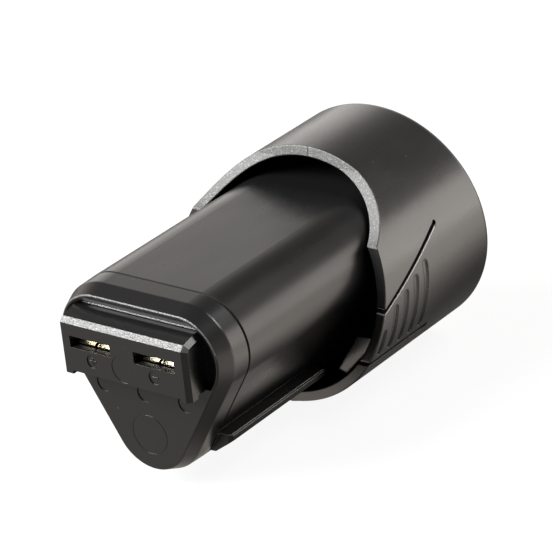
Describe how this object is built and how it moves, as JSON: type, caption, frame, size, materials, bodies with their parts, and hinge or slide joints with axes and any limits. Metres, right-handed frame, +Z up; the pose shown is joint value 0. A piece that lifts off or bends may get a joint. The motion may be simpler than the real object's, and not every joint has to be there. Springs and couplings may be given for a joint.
{
  "type": "power tool battery pack",
  "caption": "Stick battery pack with slotted terminal nose, rounded triangular stem, hollow round cap and two squeeze release tabs.",
  "frame": {"origin": "middle of the pack's footprint, on the surface that it lies on", "axes": "-Y towards the terminals, +Y towards the flat rear face, +Z up through the side that carries the terminal block, +X to the right when looking along +Y"},
  "size_m": [0.052, 0.087, 0.0493],
  "materials": {
    "gloss_black": "semi-gloss moulded black plastic",
    "screw_steel": "zinc plated",
    "can_steel": "nickel plated steel",
    "electrode": "wound foil",
    "shrink_sleeve": "shrink film",
    "nickel": "bright nickel",
    "board": "solder mask",
    "spacer_plastic": "moulded",
    "card": "fibre card",
    "foam": "closed-cell foam",
    "bead": "epoxy bead"
  },
  "bodies": {
    "pack_body": {"stem_housing": "gloss_black", "nose_cover": "gloss_black", "base_cap": "gloss_black", "cap_screws": "screw_steel", "left_cell_can": "can_steel", "left_cell_electrode_roll": "electrode", "left_cell_positive_cap": "can_steel", "left_cell_washer": "card", "left_cell_sleeve": "shrink_sleeve", "right_cell_can": "can_steel", "right_cell_electrode_roll": "electrode", "right_cell_positive_cap": "can_steel", "right_cell_washer": "card", "right_cell_sleeve": "shrink_sleeve", "lower_cell_can": "can_steel", "lower_cell_electrode_roll": "electrode", "lower_cell_positive_cap": "can_steel", "lower_cell_washer": "card", "lower_cell_sleeve": "shrink_sleeve", "front_link_strip": "nickel", "rear_link_strip": "nickel", "positive_lead_strip": "nickel", "negative_lead_strip": "nickel", "positive_terminal_clip": "nickel", "negative_terminal_clip": "nickel", "circuit_board": "board", "front_spacer": "spacer_plastic", "front_insulator": "card", "rear_cushion": "foam", "thermistor": "bead"},
    "right_tab": {"right_release_tab": "gloss_black"},
    "left_tab": {"left_release_tab": "gloss_black"}
  },
  "joints": [
    {"name": "right_tab_squeeze", "type": "hinge", "parent": "pack_body", "child": "right_tab", "pos_m": [0.02104, 0.0235, 0.01205], "axis": [-0.0851, -0.1535, -0.9845], "range_deg": [0, 7], "stiffness_Nm_per_rad": 0.4},
    {"name": "left_tab_squeeze", "type": "hinge", "parent": "pack_body", "child": "left_tab", "pos_m": [-0.02104, 0.0235, 0.01205], "axis": [-0.0851, 0.1535, 0.9845], "range_deg": [0, 7], "stiffness_Nm_per_rad": 0.4}
  ]
}
